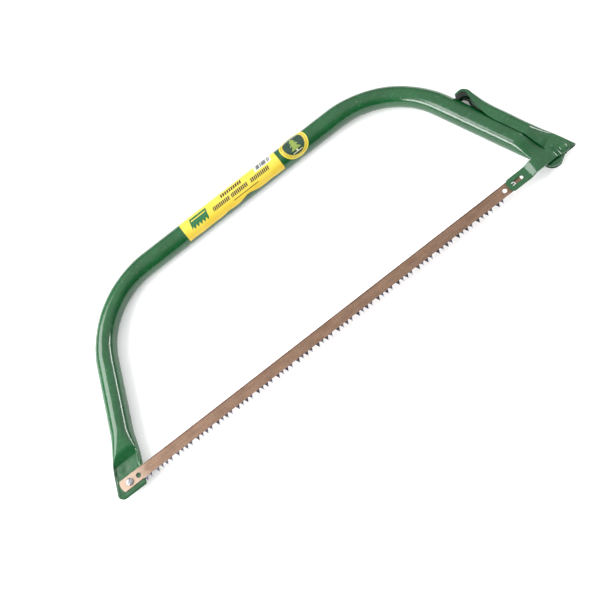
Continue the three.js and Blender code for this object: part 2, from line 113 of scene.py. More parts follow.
def finish_mesh(mesh, sharp):
    work = bmesh.new()
    work.from_mesh(mesh)
    bmesh.ops.remove_doubles(work, verts=work.verts, dist=2e-6)
    bmesh.ops.recalc_face_normals(work, faces=work.faces)
    work.to_mesh(mesh)
    work.free()
    mesh.shade_smooth()
    mesh.set_sharp_from_angle(angle=math.radians(sharp))


def skin(rings, loop=False, caps=True):
    """Faces that join rings of points of one count. With loop, the last ring joins the first."""
    count = len(rings[0])
    points = [point for ring in rings for point in ring]
    faces = []
    for row in range(len(rings) if loop else len(rings) - 1):
        after = (row + 1) % len(rings)
        for side in range(count):
            beside = (side + 1) % count
            faces.append((
                row * count + side, row * count + beside, after * count + beside, after * count + side,
            ))
    if caps and not loop:
        faces.append(tuple(range(count)))
        faces.append(tuple(range((len(rings) - 1) * count, len(rings) * count)))
    return points, faces


def turned(profile, x, y, sides=64):
    """Rings of a turned shape from a profile of (radius, z) that starts and ends near the axis."""
    return [
        [
            (x + radius * math.cos(turn), y + radius * math.sin(turn), z)
            for turn in (2 * math.pi * side / sides for side in range(sides))
        ]
        for radius, z in profile
    ]


def arc(centre, radius, start, end, steps):
    """Points on an arc in a plane, with angles in degrees."""
    turns = [math.radians(lerp(start, end, step / steps)) for step in range(steps + 1)]
    return [(centre[0] + radius * math.cos(t), centre[1] + radius * math.sin(t)) for t in turns]


def slab(name, outline, low, high, material=None):
    """An upright prism with that outline. Without a material it only serves to cut another piece."""
    count = len(outline)
    points = [(x, y, low) for x, y in outline] + [(x, y, high) for x, y in outline]
    faces = [tuple(reversed(range(count))), tuple(range(count, 2 * count))]
    faces += [(i, (i + 1) % count, count + (i + 1) % count, count + i) for i in range(count)]
    return piece(name, points, faces, material)


def combine(target, operation, *tools):
    """Applies a boolean of each tool to the target, and removes the tools."""
    for tool in tools:
        modifier = target.modifiers.new(operation, "BOOLEAN")
        modifier.operation = operation
        modifier.solver = "EXACT"
        modifier.object = tool
        apply_modifiers(target)
        bpy.data.objects.remove(tool)
    return target


def apply_modifiers(made, sharp=None):
    graph = bpy.context.evaluated_depsgraph_get()
    mesh = bpy.data.meshes.new_from_object(made.evaluated_get(graph))
    made.modifiers.clear()
    made.data = mesh
    if sharp is not None:
        finish_mesh(mesh, sharp)
    return made


def round_edges(made, width, sharp=32, segments=2):
    bevel = made.modifiers.new("edges", "BEVEL")
    bevel.width = width * MM
    bevel.segments = segments
    bevel.limit_method = "ANGLE"
    bevel.angle_limit = math.radians(sharp)
    bevel.use_clamp_overlap = True
    return apply_modifiers(made, sharp)


def settle(made, body, slot, *nodes):
    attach(made, body)
    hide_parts(*nodes)
    return made


# ---------------------------------------------------------------- material helpers


class Finish:
    """Builds one material. Each method adds nodes and returns the output of the last."""

    def __init__(self, name):
        self.material = bpy.data.materials.new(name)
        self.material.use_nodes = True
        self.tree = self.material.node_tree
        self.shader = self.tree.nodes["Principled BSDF"]
        self.spot = self.add("ShaderNodeTexCoord").outputs["Object"]

    def add(self, kind, **settings):
        node = self.tree.nodes.new(kind)
        for key, value in settings.items():
            setattr(node, key, value)
        return node

    def feed(self, socket, value):
        if isinstance(value, bpy.types.NodeSocket):
            self.tree.links.new(value, socket)
        else:
            socket.default_value = value

    def set(self, **values):
        for key, value in values.items():
            self.feed(self.shader.inputs[key.replace("_", " ")], value)

    def sum(self, operation, *values):
        node = self.add("ShaderNodeMath", operation=operation)
        for socket, value in zip(node.inputs, values):
            self.feed(socket, value)
        return node.outputs[0]

    def saw_axes(self):
        """The saw's X, Y and Z in millimetres."""
        shift = self.add("ShaderNodeMapping")
        self.feed(shift.inputs["Vector"], self.spot)
        shift.inputs["Location"].default_value = -ORIGIN / MM
        shift.inputs["Scale"].default_value = (1 / MM, 1 / MM, 1 / MM)
        split = self.add("ShaderNodeSeparateXYZ")
        self.feed(split.inputs[0], shift.outputs[0])
        return split.outputs

    def noise(self, size, detail=3, stretch=(1, 1, 1), turn=0.0):
        """Noise whose features are about size millimetres, times stretch along each axis."""
        shift = self.add("ShaderNodeMapping")
        self.feed(shift.inputs["Vector"], self.spot)
        shift.inputs["Rotation"].default_value = (0, 0, turn)
        shift.inputs["Scale"].default_value = [1 / s for s in stretch]
        node = self.add("ShaderNodeTexNoise")
        self.feed(node.inputs["Vector"], shift.outputs[0])
        node.inputs["Scale"].default_value = 1 / (size * MM)
        node.inputs["Detail"].default_value = detail
        node.inputs["Roughness"].default_value = 0.5
        return node.outputs["Fac"]

    def step(self, value, low, high, out_low=0.0, out_high=1.0):
        node = self.add("ShaderNodeMapRange", interpolation_type="SMOOTHSTEP")
        for key, number in (
            ("Value", value), ("From Min", low), ("From Max", high),
            ("To Min", out_low), ("To Max", out_high),
        ):
            self.feed(node.inputs[key], number)
        return node.outputs[0]

    def length(self, u, v):
        return self.sum("SQRT", self.sum("ADD", self.sum("MULTIPLY", u, u), self.sum("MULTIPLY", v, v)))

    def mix(self, part, a, b):
        node = self.add("ShaderNodeMix", data_type="RGBA")
        self.feed(node.inputs[0], part)
        self.feed(node.inputs[6], a)
        self.feed(node.inputs[7], b)
        return node.outputs[2]

    def bump(self, height, distance, under=None):
        """Relief of that distance in millimetres."""
        node = self.add("ShaderNodeBump")
        node.inputs["Strength"].default_value = 1.0
        node.inputs["Distance"].default_value = distance * MM
        self.feed(node.inputs["Height"], height)
        if under is not None:
            self.feed(node.inputs["Normal"], under)
        return node.outputs[0]

    def within(self, value, middle, half, soft=0.12):
        """1 where value is within half of middle."""
        away = self.sum("ABSOLUTE", self.sum("SUBTRACT", value, middle))
        return self.step(away, half - soft, half + soft, 1.0, 0.0)

    def both(self, *masks):
        result = masks[0]
        for mask in masks[1:]:
            result = self.sum("MULTIPLY", result, mask)
        return result

    def either(self, *masks):
        result = masks[0]
        for mask in masks[1:]:
            result = self.sum("MAXIMUM", result, mask)
        return result


def srgb(red, green, blue):
    """A colour from its eight-bit screen values."""
    values = [number / 255 for number in (red, green, blue)]
    return [v / 12.92 if v <= 0.04045 else ((v + 0.055) / 1.055) ** 2.4 for v in values] + [1.0]


# ---------------------------------------------------------------- materials


def green_paint(name, chips=0.71, wear=1.0):
    """Thick gloss enamel over steel: uneven, with sags, dust and small chips down to bright metal."""
    finish = Finish(name)
    broad = finish.noise(38, 3)
    fine = finish.noise(5, 4)
    speck = finish.noise(1.9, 2)
    peel = finish.noise(2.6, 2)
    scuff = finish.noise(2.2, 5, stretch=(7, 1, 1), turn=0.5)
    base = finish.mix(finish.step(broad, 0.3, 0.7), srgb(5, 66, 29), srgb(9, 77, 36))
    base = finish.mix(finish.step(fine, 0.45, 0.8, 0.0, 0.4), base, srgb(26, 88, 49))
    scuffed = finish.both(finish.step(scuff, 0.62, 0.72), finish.step(broad, 0.5, 0.62))
    base = finish.mix(finish.sum("MULTIPLY", scuffed, 0.4 * wear), base, srgb(84, 118, 92))
    chip = finish.both(finish.step(speck, chips, chips + 0.02), finish.step(fine, 0.5, 0.6))
    base = finish.mix(chip, base, srgb(128, 132, 128))
    rough = finish.step(fine, 0.25, 0.8, 0.13, 0.27)
    rough = finish.sum("ADD", rough, finish.sum("MULTIPLY", scuffed, 0.16))
    sag = finish.bump(broad, 1.1)
    skinned = finish.bump(peel, 0.028, under=sag)
    chipped = finish.bump(finish.sum("SUBTRACT", 1.0, chip), 0.08, under=skinned)
    finish.set(Base_Color=base, Roughness=rough, Normal=chipped)
    finish.set(Metallic=finish.sum("MULTIPLY", chip, 0.8))
    finish.shader.inputs["IOR"].default_value = 1.5
    finish.shader.inputs["Coat Weight"].default_value = 0.3
    finish.shader.inputs["Coat Roughness"].default_value = 0.08
    return finish.material


def blade_steel():
    """Brown lacquer on rolled steel, rubbed through at the screw, with dark hardened tooth points."""
    finish = Finish("blade_lacquer")
    x, y, _ = finish.saw_axes()
    grain = finish.noise(1.0, 4, stretch=(22, 1, 1))
    blotch = finish.noise(16, 4, stretch=(1.6, 1, 1))
    speck = finish.noise(1.3, 3)
    tone = finish.mix(finish.step(blotch, 0.3, 0.72), srgb(106, 78, 59), srgb(122, 93, 71))
    tone = finish.mix(finish.step(grain, 0.42, 0.72, 0.0, 0.45), tone, srgb(142, 116, 97))
    tone = finish.mix(finish.step(speck, 0.5, 0.66, 0.0, 0.6), tone, srgb(72, 54, 43))
    # painted glint: pale specks that stand in for small sparks of light on the lacquer
    painted_glint = finish.noise(0.9, 2)
    tone = finish.mix(finish.step(painted_glint, 0.64, 0.72, 0.0, 0.55), tone, srgb(172, 150, 132))
    back = finish.step(y, BLADE_BACK_Y - 1.9, BLADE_BACK_Y - 1.0)
    tone = finish.mix(finish.sum("MULTIPLY", back, 0.85), tone, srgb(66, 42, 30))
    worn = finish.sum("ADD", x, finish.sum("MULTIPLY", finish.noise(9, 4), 26.0))
    bare = finish.step(worn, 20.0, 46.0, 1.0, 0.0)
    tone = finish.mix(finish.sum("MULTIPLY", bare, 0.92), tone, srgb(162, 140, 122))
    # painted shade: a dark ring round each of the four holes, where the rim of the hole falls in shade
    for hole in (0, 13.5, BLADE_SPAN - 13.5, BLADE_SPAN):
        u = finish.sum("SUBTRACT", x, hole)
        far = finish.length(u, y)
        tone = finish.mix(finish.step(far, 3.1, 3.9, 0.8, 0.0), tone, srgb(52, 42, 36))
    heat = finish.sum("ADD", y, finish.sum("MULTIPLY", finish.noise(3, 3), 1.6))
    tip = finish.step(heat, TOOTH_ROOT_Y - 0.4, TOOTH_ROOT_Y + 1.1, 1.0, 0.0)
    tone = finish.mix(tip, tone, srgb(50, 50, 62))
    rough = finish.step(grain, 0.3, 0.7, 0.28, 0.44)
    rough = finish.sum("SUBTRACT", rough, finish.sum("MULTIPLY", tip, 0.1))
    relief = finish.bump(grain, 0.03, under=finish.bump(blotch, 0.25))
    finish.set(Base_Color=tone, Roughness=rough, Normal=relief)
    finish.set(Metallic=finish.step(tip, 0.0, 1.0, 0.35, 0.8))
    finish.shader.inputs["Coat Weight"].default_value = 0.25
    finish.shader.inputs["Coat Roughness"].default_value = 0.22
    return finish.material


def honed_steel():
    """The bright filed bevels of the teeth."""
    finish = Finish("honed_steel")
    file_marks = finish.noise(0.5, 3, stretch=(1, 5, 5))
    tone = finish.mix(finish.step(file_marks, 0.35, 0.65), srgb(172, 174, 184), srgb(214, 215, 222))
    finish.set(Base_Color=tone, Roughness=finish.step(file_marks, 0.3, 0.7, 0.22, 0.4))
    finish.set(Normal=finish.bump(file_marks, 0.05))
    finish.shader.inputs["Metallic"].default_value = 0.9
    return finish.material


def zinc():
    finish = Finish("zinc_plate")
    flake = finish.add("ShaderNodeTexVoronoi")
    finish.feed(flake.inputs["Vector"], finish.spot)
    flake.inputs["Scale"].default_value = 1 / (0.9 * MM)
    patch = finish.sum("MULTIPLY", flake.outputs["Distance"], 0.8)
    smear = finish.noise(1.4, 4)
    tone = finish.mix(patch, srgb(150, 153, 157), srgb(184, 187, 190))
    tone = finish.mix(finish.step(smear, 0.5, 0.7, 0.0, 0.6), tone, srgb(112, 114, 114))
    finish.set(Base_Color=tone, Roughness=finish.step(smear, 0.3, 0.7, 0.2, 0.38))
    finish.set(Normal=finish.bump(smear, 0.04))
    finish.shader.inputs["Metallic"].default_value = 0.95
    return finish.material


def bar_axes(finish):
    """Distance along the top bar, and round it from its crown towards its outside, in millimetres."""
    x, y, z = finish.saw_axes()
    turn = finish.sum("ARCTAN2", finish.sum("SUBTRACT", y, BAR_Y), finish.sum("SUBTRACT", z, MID_Z))
    return x, finish.sum("MULTIPLY", turn, 15.5)


def random_bars(finish, x, width, seed, share):
    """Upright bars of that width, with that share of them inked."""
    pick = finish.add("ShaderNodeTexWhiteNoise", noise_dimensions="2D")
    join = finish.add("ShaderNodeCombineXYZ")
    finish.feed(join.inputs[0], finish.sum("FLOOR", finish.sum("DIVIDE", x, width)))
    join.inputs[1].default_value = seed
    finish.feed(pick.inputs["Vector"], join.outputs[0])
    return finish.sum("LESS_THAN", pick.outputs["Value"], share)


def even_ticks(finish, x, half_pitch, gap):
    """Upright ticks at an even pitch, a plain pattern that stands in for print."""
    return finish.step(finish.sum("PINGPONG", x, half_pitch), gap - 0.15, gap + 0.15)


def paper(finish, tone, shine=0.3):
    crease = finish.noise(14, 3)
    fibre = finish.noise(0.8, 3)
    finish.set(Base_Color=tone)
    finish.set(Roughness=finish.step(fibre, 0.3, 0.7, shine, shine + 0.14))
    finish.set(Normal=finish.bump(fibre, 0.02, under=finish.bump(crease, 0.5)))
    finish.shader.inputs["Coat Weight"].default_value = 0.2
    finish.shader.inputs["Coat Roughness"].default_value = 0.15
    return finish.material


LABEL_LEFT = 238.3
LABEL_RIGHT = 394.3


def label_print():
    """Yellow paper with a plain green badge, rows of ticks in place of print, and a striped patch."""
    finish = Finish("label_print")
    x, v = bar_axes(finish)
    along = finish.sum("SUBTRACT", x, LABEL_LEFT)
    slant = finish.sum("ADD", along, finish.sum("MULTIPLY", v, -0.22))
    stain = finish.noise(24, 3)
    tone = finish.mix(finish.step(stain, 0.3, 0.7), srgb(206, 184, 54), srgb(210, 192, 72))
    # painted shade: deeper amber towards the lower edge, where the bar curves away from the light
    low = finish.step(v, -21.0, -5.0, 0.55, 0.0)
    tone = finish.mix(low, tone, srgb(206, 162, 40))
    brown = srgb(44, 27, 20)
    green = srgb(14, 92, 46)

    saw_edge = finish.sum("MULTIPLY", finish.sum("PINGPONG", slant, 2.6), 1.9)
    badge_foot = finish.step(finish.sum("ADD", v, saw_edge), -6.2, -5.9)
    badge = finish.both(finish.within(slant, 27, 13.5), finish.within(v, -3.0, 9.0), badge_foot)
    pale_line = finish.both(finish.within(slant, 27, 11.5), finish.within(v, 1.6, 0.7))
    tone = finish.mix(finish.both(badge, finish.sum("SUBTRACT", 1.0, pale_line)), tone, green)

    head = finish.both(finish.within(slant, 82, 17), finish.within(v, 4.6, 3.0),
                       even_ticks(finish, slant, 1.7, 0.5))
    spans = ((63, 13.5), (92, 13), (125, 15))
    words = finish.either(*(finish.within(slant, middle, half) for middle, half in spans))
    line = finish.both(words, finish.within(v, -4.4, 2.9), even_ticks(finish, slant, 1.35, 0.4))
    small = finish.both(finish.within(slant, 100, 20), finish.within(v, -11.6, 0.5))
    tone = finish.mix(finish.either(head, line, small), tone, brown)

    patch = finish.both(finish.within(slant, 134, 13.5), finish.within(v, 8.6, 7.4))
    tone = finish.mix(patch, tone, srgb(190, 191, 190))
    codes = finish.both(finish.within(slant, 134, 11), finish.within(v, 7.4, 4.6),
                        random_bars(finish, slant, 0.8, 12, 0.62))
    tone = finish.mix(codes, tone, srgb(92, 94, 98))
    return paper(finish, tone)


STICKER_X = 421
STICKER_RADIUS = 20.5


def sticker_print():
    """A yellow ring of ticks round a dark green disc with a plain fir tree and a ground line."""
    finish = Finish("sticker_print")
    x, v = bar_axes(finish)
    u = finish.sum("SUBTRACT", x, STICKER_X)
    far = finish.length(u, v)
    tone = finish.mix(finish.step(finish.noise(9, 3), 0.3, 0.7), srgb(204, 184, 52), srgb(208, 190, 74))
    disc = finish.step(far, 14.7, 15.0, 1.0, 0.0)
    tone = finish.mix(disc, tone, srgb(26, 56, 42))
    edge = finish.within(far, 15.3, 0.35)
    tone = finish.mix(edge, tone, srgb(120, 108, 40))
    turn = finish.sum("ARCTAN2", v, u)
    ticks = finish.both(finish.within(far, 17.7, 0.9),
                        even_ticks(finish, finish.sum("MULTIPLY", turn, 17.7), 0.95, 0.4))
    tone = finish.mix(finish.sum("MULTIPLY", ticks, 0.8), tone, srgb(110, 84, 30))
    side = finish.sum("ABSOLUTE", u)
    tiers = []
    for top, height, spread in ((10.5, 7.5, 0.62), (5.5, 8.0, 0.8), (0.2, 8.6, 0.95)):
        below = finish.sum("SUBTRACT", top, v)
        slope = finish.sum("SUBTRACT", finish.sum("MULTIPLY", below, spread), side)
        inside = finish.step(below, height - 0.2, height, 1.0, 0.0)
        tiers.append(finish.both(finish.step(slope, 0.0, 0.3), inside))
    tree = finish.either(*tiers)
    tone = finish.mix(tree, tone, srgb(122, 142, 62))
    trunk = finish.both(finish.within(u, 0, 1.1), finish.within(v, -10.0, 1.7))
    ground = finish.both(finish.within(v, -11.6, 0.55), finish.within(u, 0, 7.5))
    tone = finish.mix(finish.either(trunk, ground), tone, srgb(190, 186, 160))
    return paper(finish, tone, 0.24)


def floor_finish():
    finish = Finish("studio_floor")
    tone = finish.mix(finish.noise(60, 3), (0.86, 0.86, 0.865, 1), (0.89, 0.89, 0.895, 1))
    finish.set(Base_Color=tone, Roughness=finish.step(finish.noise(8, 3), 0.2, 0.8, 0.7, 0.85))
    finish.shader.inputs["Specular IOR Level"].default_value = 0.2
    finish.shader.inputs["Emission Color"].default_value = (1, 1, 1, 1)
    finish.shader.inputs["Emission Strength"].default_value = 0.2
    return finish.material


frame_paint = green_paint("frame_enamel")
lever_paint = green_paint("lever_enamel", chips=0.69, wear=1.4)
zinc_plate = zinc()

# ---------------------------------------------------------------- bow tube

# The left leg is pressed flat at its foot: a sunk pocket for the blade, with a bead along its edges.
LEFT_END_Y = -14
LEFT_CORNER_RADIUS = 12
LEFT_CREASE_Y = 26
LEFT_SLOPE = 0.72
LEFT_WIDE = 19.8
LEFT_SHIFT = -1.2
LEFT_BEAD_HALF = 3.4
LEFT_POCKET_HALF = 16.5
BEAD_END_Y = 12
RIGHT_WIDE = 13.2                  # half the width of the right leg's flat end
RIGHT_SLOPE = (18, 49)             # from flat to round, as distances from the pivot up the leg
BEND_SQUEEZE = 1.2
TUBE_SIDES = 112


def pressed_half(wide):
    """Half the height of a tube pressed to that half width, with its girth kept."""
    return (2 * math.pi * TUBE_RADIUS - 4 * wide) / (2 * math.pi - 4)


def oval_half(u, wide, round_half):
    past = abs(u) - (wide - round_half)
    if past <= 0:
        return round_half
    return round_half * math.sqrt(max(0, 1 - (past / round_half) ** 2))


def corner_inset(past, radius):
    return radius - math.sqrt(max(0, radius**2 - past**2)) if past > 0 else 0


def left_station(y):
    """Centre, direction of the width, half widths and half height of the pressed left leg."""
    press = 1 - smoothstep(y, 18, 62)
    turn = 1 - smoothstep(y, 28, 78)
    square = Vector((ALONG.y, -ALONG.x))
    level = Vector((1 / ALONG.y, 0))
    wide = lerp(TUBE_RADIUS, LEFT_WIDE, press)
    edge = lerp(LEFT_BEAD_HALF, pressed_half(wide), smoothstep(y, 2, 34))
    inset = corner_inset(LEFT_END_Y + LEFT_CORNER_RADIUS - y, LEFT_CORNER_RADIUS)
    x = LEFT_LEG_X + y / math.tan(LEG_ANGLE) + LEFT_SHIFT * press / ALONG.y

    def half(u, point_y, wall):
        oval = oval_half(u, wide - wall, edge - wall)
        pocket = FLAT_HALF - wall + LEFT_SLOPE * max(0, point_y - LEFT_CREASE_Y)
        bead = smoothstep(abs(u) + wall, LEFT_POCKET_HALF - 1.1, LEFT_POCKET_HALF + 0.9)
        if u > 0:
            bead *= smoothstep(point_y, BEAD_END_Y - 4, BEAD_END_Y + 3)
        closing = math.sqrt(max(1 - (max(LEFT_END_Y + 2.6 - point_y, 0) / 2.75) ** 2, 0.02))
        return lerp(soft_min(oval, pocket, 0.8), oval, bead) * closing

    return Vector((x, y)), square.lerp(level, turn), (wide - inset, wide), half


def right_station(along):
    """The same for the right leg, at a distance up the leg from the lever's rivet."""
    part = (along - RIGHT_SLOPE[0]) / (RIGHT_SLOPE[1] - RIGHT_SLOPE[0])
    part = min(max(part, 0), 1)
    rise = lerp(part, smoothstep(part, 0, 1), 0.6)
    high = lerp(FLAT_HALF, TUBE_RADIUS, rise)
    wide = lerp(RIGHT_WIDE, TUBE_RADIUS, smoothstep(along, 0, 18)) - corner_inset(-along, RIGHT_WIDE)
    centre = Vector((PIVOT[0] - ALONG.x * along, PIVOT[1] + ALONG.y * along))

    def half(u, point_y, wall):
        return oval_half(u, wide - wall, max(min(high, wide) - wall, 0.2))

    return centre, Vector((-ALONG.y, -ALONG.x)), (wide, wide), half


def bend_stations(sign, steps=34):
    left_corner = LEFT_LEG_X + BAR_Y / math.tan(LEG_ANGLE)
    right_corner = PIVOT[0] - (BAR_Y - PIVOT[1]) / math.tan(LEG_ANGLE)
    tangent = BEND_RADIUS * math.tan(LEG_ANGLE / 2)
    centre_x = left_corner + tangent if sign < 0 else right_corner - tangent
    stations = []
    for step in range(steps + 1):
        part = 1 - step / steps if sign < 0 else step / steps
        out = Vector((sign * math.sin(LEG_ANGLE * part), math.cos(LEG_ANGLE * part)))
        wide = TUBE_RADIUS - BEND_SQUEEZE * smoothstep(math.sin(math.pi * part), 0, 0.8)
        centre = Vector((centre_x, BAR_Y - BEND_RADIUS)) + out * BEND_RADIUS

        def half(u, point_y, wall, wide=wide):
            return (TUBE_RADIUS - wall) * math.sqrt(max(0, 1 - (u / (wide - wall)) ** 2))

        stations.append((centre, -out, (wide, wide), half))
    return stations


def tube_ring(station, wall):
    centre, side, widths, half = station
    ring = []
    for step in range(TUBE_SIDES):
        angle = (step + 0.5) / TUBE_SIDES * 2 * math.pi
        across = math.cos(angle)
        wide = max(widths[0 if across < 0 else 1] - wall, 0.3)
        x = centre.x + side.x * wide * across
        y = centre.y + side.y * wide * across
        height = max(half(wide * across, y, wall), 0.0)
        ring.append((x, y, MID_Z + math.copysign(height, math.sin(angle))))
    return ring


def spread(low, high, pitch):
    count = max(1, round(abs(high - low) / pitch))
    return [lerp(low, high, step / count) for step in range(count)]


def frame_tube():
    left = spread(-13.9, -8, 0.7) + spread(-8, 60, 0.9) + spread(60, 96, 4)
    right = spread(74, 52, 2.5) + spread(52, 14, 1.2) + spread(14, -6, 2) + spread(-6, -13, 0.5)
    bars = [left_station(y) for y in left] + bend_stations(-1)
    bar_left, bar_right = bars[-1][0].x, bend_stations(1)[0][0].x
    straight = [
        (Vector((x, BAR_Y)), Vector((0, -1)), (TUBE_RADIUS, TUBE_RADIUS), bars[-1][3])
        for x in spread(bar_left, bar_right, 12)[1:]
    ]
    stations = bars + straight + bend_stations(1) + [right_station(along) for along in right]
    outer = [tube_ring(station, 0) for station in stations]
    inner = [tube_ring(station, TUBE_WALL) for station in stations]
    points, faces = skin(outer + inner[::-1], loop=True)
    return settle(piece("bow_tube", points, faces, frame_paint, 60), "frame", "frame_paint", "frame_tube")


# ---------------------------------------------------------------- blade

TOOTH_PITCH = 6.8
GROUP_PITCH = 31.2
GROUPS = 19
FIRST_GROUP_X = 6.9
TOOTHED = (20, 580)                # teeth stand between these
TOOTH_FORMS = (                    # lean, length, half width
    (1, 6.3, 3.1),
    (-1, 5.3, 2.7),
    (1, 5.9, 3.0),
    (-1, 5.6, 3.2),
)
TOOTH_SET = 0.75                   # how far a tooth's point leans out of the blade


def tooth(tip_x, lean, length, half):
    """A point below the root line. It leans up or down by its set, and is honed on its inner side."""
    low, high = BLADE_Z, BLADE_TOP
    root, point_y = TOOTH_ROOT_Y + 0.35, TOOTH_ROOT_Y - length
    shift = TOOTH_SET * lean
    face, hone = (low, high) if lean > 0 else (high, low)
    points = [
        (tip_x - half, root, low), (tip_x + half, root, low),
        (tip_x - half, root, high), (tip_x + half, root, high),
        (tip_x - 1.5, lerp(root, point_y, 0.5), hone + shift * 0.5),
        (tip_x + 1.5, lerp(root, point_y, 0.5), hone + shift * 0.5),
        (tip_x - 0.55, lerp(root, point_y, 0.5), face + shift * 0.5),
        (tip_x + 0.55, lerp(root, point_y, 0.5), face + shift * 0.5),
        (tip_x - 0.12, point_y, hone + shift), (tip_x + 0.12, point_y, hone + shift),
        (tip_x, point_y + 0.25, face + shift),
    ]
    near, far = ((0, 1), (2, 3)) if lean > 0 else ((2, 3), (0, 1))
    faces = [
        (far[0], far[1], 5, 4), (4, 5, 9, 8), (near[0], near[1], 7, 6), (6, 7, 10),
        (near[0], 6, 4, far[0]), (near[1], far[1], 5, 7), (6, 10, 8, 4), (7, 5, 9, 10),
        (8, 9, 10), (0, 1, 3, 2),
    ]
    return points, faces


def saw_blade():
    end = BLADE_SPAN + 11.5
    outline = arc((end - 3, TOOTH_ROOT_Y + 3), 3, -90, 0, 5) + arc((end - 3, BLADE_BACK_Y - 3), 3, 0, 90, 5)
    bulge = [(-11.5 - 1.8 * (1 - t * t), (BLADE_BACK_Y + TOOTH_ROOT_Y) / 2 + 7.7 * t)
             for t in (1, 0.75, 0.5, 0.25, 0, -0.25, -0.5, -0.75, -1)]
    body = slab("saw_blade", outline + bulge, BLADE_Z, BLADE_TOP, blade_steel())
    for x in (0, 13.5, BLADE_SPAN - 13.5, BLADE_SPAN):
        combine(body, "DIFFERENCE", slab("hole", arc((x, 0), 3, 0, 352.5, 47), BLADE_Z - 2, BLADE_TOP + 2))
    round_edges(body, 0.12, 40, 1)
    body.data.materials.append(honed_steel())
    chance = random.Random(7)
    work = bmesh.new()
    work.from_mesh(body.data)
    for group in range(GROUPS):
        for index, (lean, length, half) in enumerate(TOOTH_FORMS):
            tip_x = FIRST_GROUP_X + group * GROUP_PITCH + index * TOOTH_PITCH
            if not TOOTHED[0] < tip_x < TOOTHED[1]:
                continue
            points, faces = tooth(tip_x, lean * chance.uniform(0.9, 1.15), length, half)
            made = [work.verts.new(place(*point)) for point in points]
            for number, face in enumerate(faces):
                work.faces.new([made[corner] for corner in face]).material_index = int(4 <= number <= 7)
    bmesh.ops.recalc_face_normals(work, faces=work.faces)
    work.to_mesh(body.data)
    work.free()
    body.data.shade_smooth()
    body.data.set_sharp_from_angle(angle=math.radians(25))
    return settle(body, "blade", "blade_steel", "blade")


# ---------------------------------------------------------------- screw, nut and rivets

DRIVER_SLOT_TURN = 40              # degrees from the blade's line
DRIVER_SLOT_HALF = 0.6


def dome(radius, low, high, steps=10):
    turns = [math.pi / 2 * step / steps for step in range(steps)]
    return [(radius * math.cos(t), low + (high - low) * math.sin(t)) for t in turns] + [(0.02, high)]


def blade_screw():
    head_z, radius, head = BLADE_TOP + 0.3, 2.4, 4.7
    profile = [
        (0.02, 6.4), (radius - 0.5, 6.4), (radius, 6.9), (radius, head_z), (head - 0.25, head_z),
        (head, head_z + 0.25), (head, head_z + 1.2), *dome(head - 0.1, head_z + 1.4, head_z + 3),
    ]
    made = piece("screw", *skin(turned(profile, 0, 0)), zinc_plate)
    turn = math.radians(DRIVER_SLOT_TURN)
    along = Vector((math.cos(turn), math.sin(turn))) * 12
    across = Vector((-math.sin(turn), math.cos(turn))) * DRIVER_SLOT_HALF
    slot = [along + across, across - along, -along - across, along - across]
    combine(made, "DIFFERENCE", slab("slot", slot, head_z + 1.7, head_z + 5))
    round_edges(made, 0.15, 40)
    return settle(made, "frame", "zinc_steel", "blade_screw")


def hex_nut():
    across, low, high = 8, 7.4, 11.4
    corner = across / 2 / math.cos(math.pi / 6)
    made = slab("nut", arc((0, 0), corner, 0, 300, 5), low, high, zinc_plate)
    crown = corner + 0.1
    cone = [(0.02, low), (across / 2, low), (crown, low + 0.9), (crown, high - 0.9),
            (across / 2, high), (0.02, high)]
    combine(made, "INTERSECT", piece("cone", *skin(turned(cone, 0, 0)), zinc_plate))
    combine(made, "DIFFERENCE", slab("bore", arc((0, 0), 2.5, 0, 352.5, 47), low - 1, high + 1))
    round_edges(made, 0.12, 30)
    return settle(made, "frame", "zinc_steel", "blade_nut")


def washer():
    low, high, bore, rim = 11.7, 12.7, 2.7, 5
    profile = [(bore, low + 0.1), (bore + 0.1, low), (rim - 0.25, low), (rim, low + 0.2),
               (rim, high - 0.2), (rim - 0.25, high), (bore + 0.1, high), (bore, high - 0.1)]
    points, faces = skin(turned(profile, 0, 0), loop=True)
    return settle(piece("washer", points, faces, zinc_plate), "frame", "zinc_steel", "screw_washer")


def rivet(name, spot, low, high, head, height, body, node, slot):
    """A painted rivet: a domed head with a small rolled rim at each end of its shank."""
    upper = [(head - 0.3, high), (head, high + 0.25), (head - 0.1, high + 0.55)]
    upper += [(r, z) for r, z in dome(head - 0.5, high + 0.55, high + height, 12)]
    lower = [(r, low + high - z) for r, z in upper][::-1]
    profile = lower + [(3, low), (3, high)] + upper
    paint = lever_paint if body == "lever" else frame_paint
    return settle(piece(name, *skin(turned(profile, *spot)), paint, 50), body, slot, node)


# ---------------------------------------------------------------- tension lever

LEVER_WALL = 1.2
PLATE_HALF = 3.9
TROUGH_HALF = 14.9
LEVER_EAR_RADIUS = 13.6
LEVER_END_Y = -7.5
LEVER_STATIONS = [                 # along, out, flange depth, half width, corner radius
    (-24, 28, 31, PLATE_HALF, 2),
    (4, 28.2, 26, PLATE_HALF, 2),
    (16, 27.9, 23.2, PLATE_HALF, 2.5),
    (29, 26.2, 20.7, (PLATE_HALF + TROUGH_HALF) / 2, 6),
    (42, 25, 18.2, TROUGH_HALF, 9),
    (57, 25, 18.2, TROUGH_HALF, 9),
    (73, 25.4, 18.2, TROUGH_HALF, 9),
    (84, 25.6, 18.6, TROUGH_HALF, 9),
    (95, 25.6, 17.4, TROUGH_HALF, 9),
    (111, 26.4, 13.6, TROUGH_HALF, 8),
    (127, 28.8, 8.6, 14.5, 6),
    (137, 30.2, 5, 14, 3.5),
    (145.6, 26.5, 4, 13.5, 3),
    (149.2, 16.8, 3.4, 13, 2.6),
]


def through(values, index, part):
    """A smooth curve through the values, between values[index] and the next."""
    before, start, end, after = (values[min(max(index + k, 0), len(values) - 1)] for k in (-1, 0, 1, 2))
    pull_in, pull_out = (end - before) * 0.5, (after - start) * 0.5
    t2, t3 = part * part, part**3
    return ((2 * start - 2 * end + pull_in + pull_out) * t3
            + (3 * end - 3 * start - 2 * pull_in - pull_out) * t2
            + pull_in * part + start)


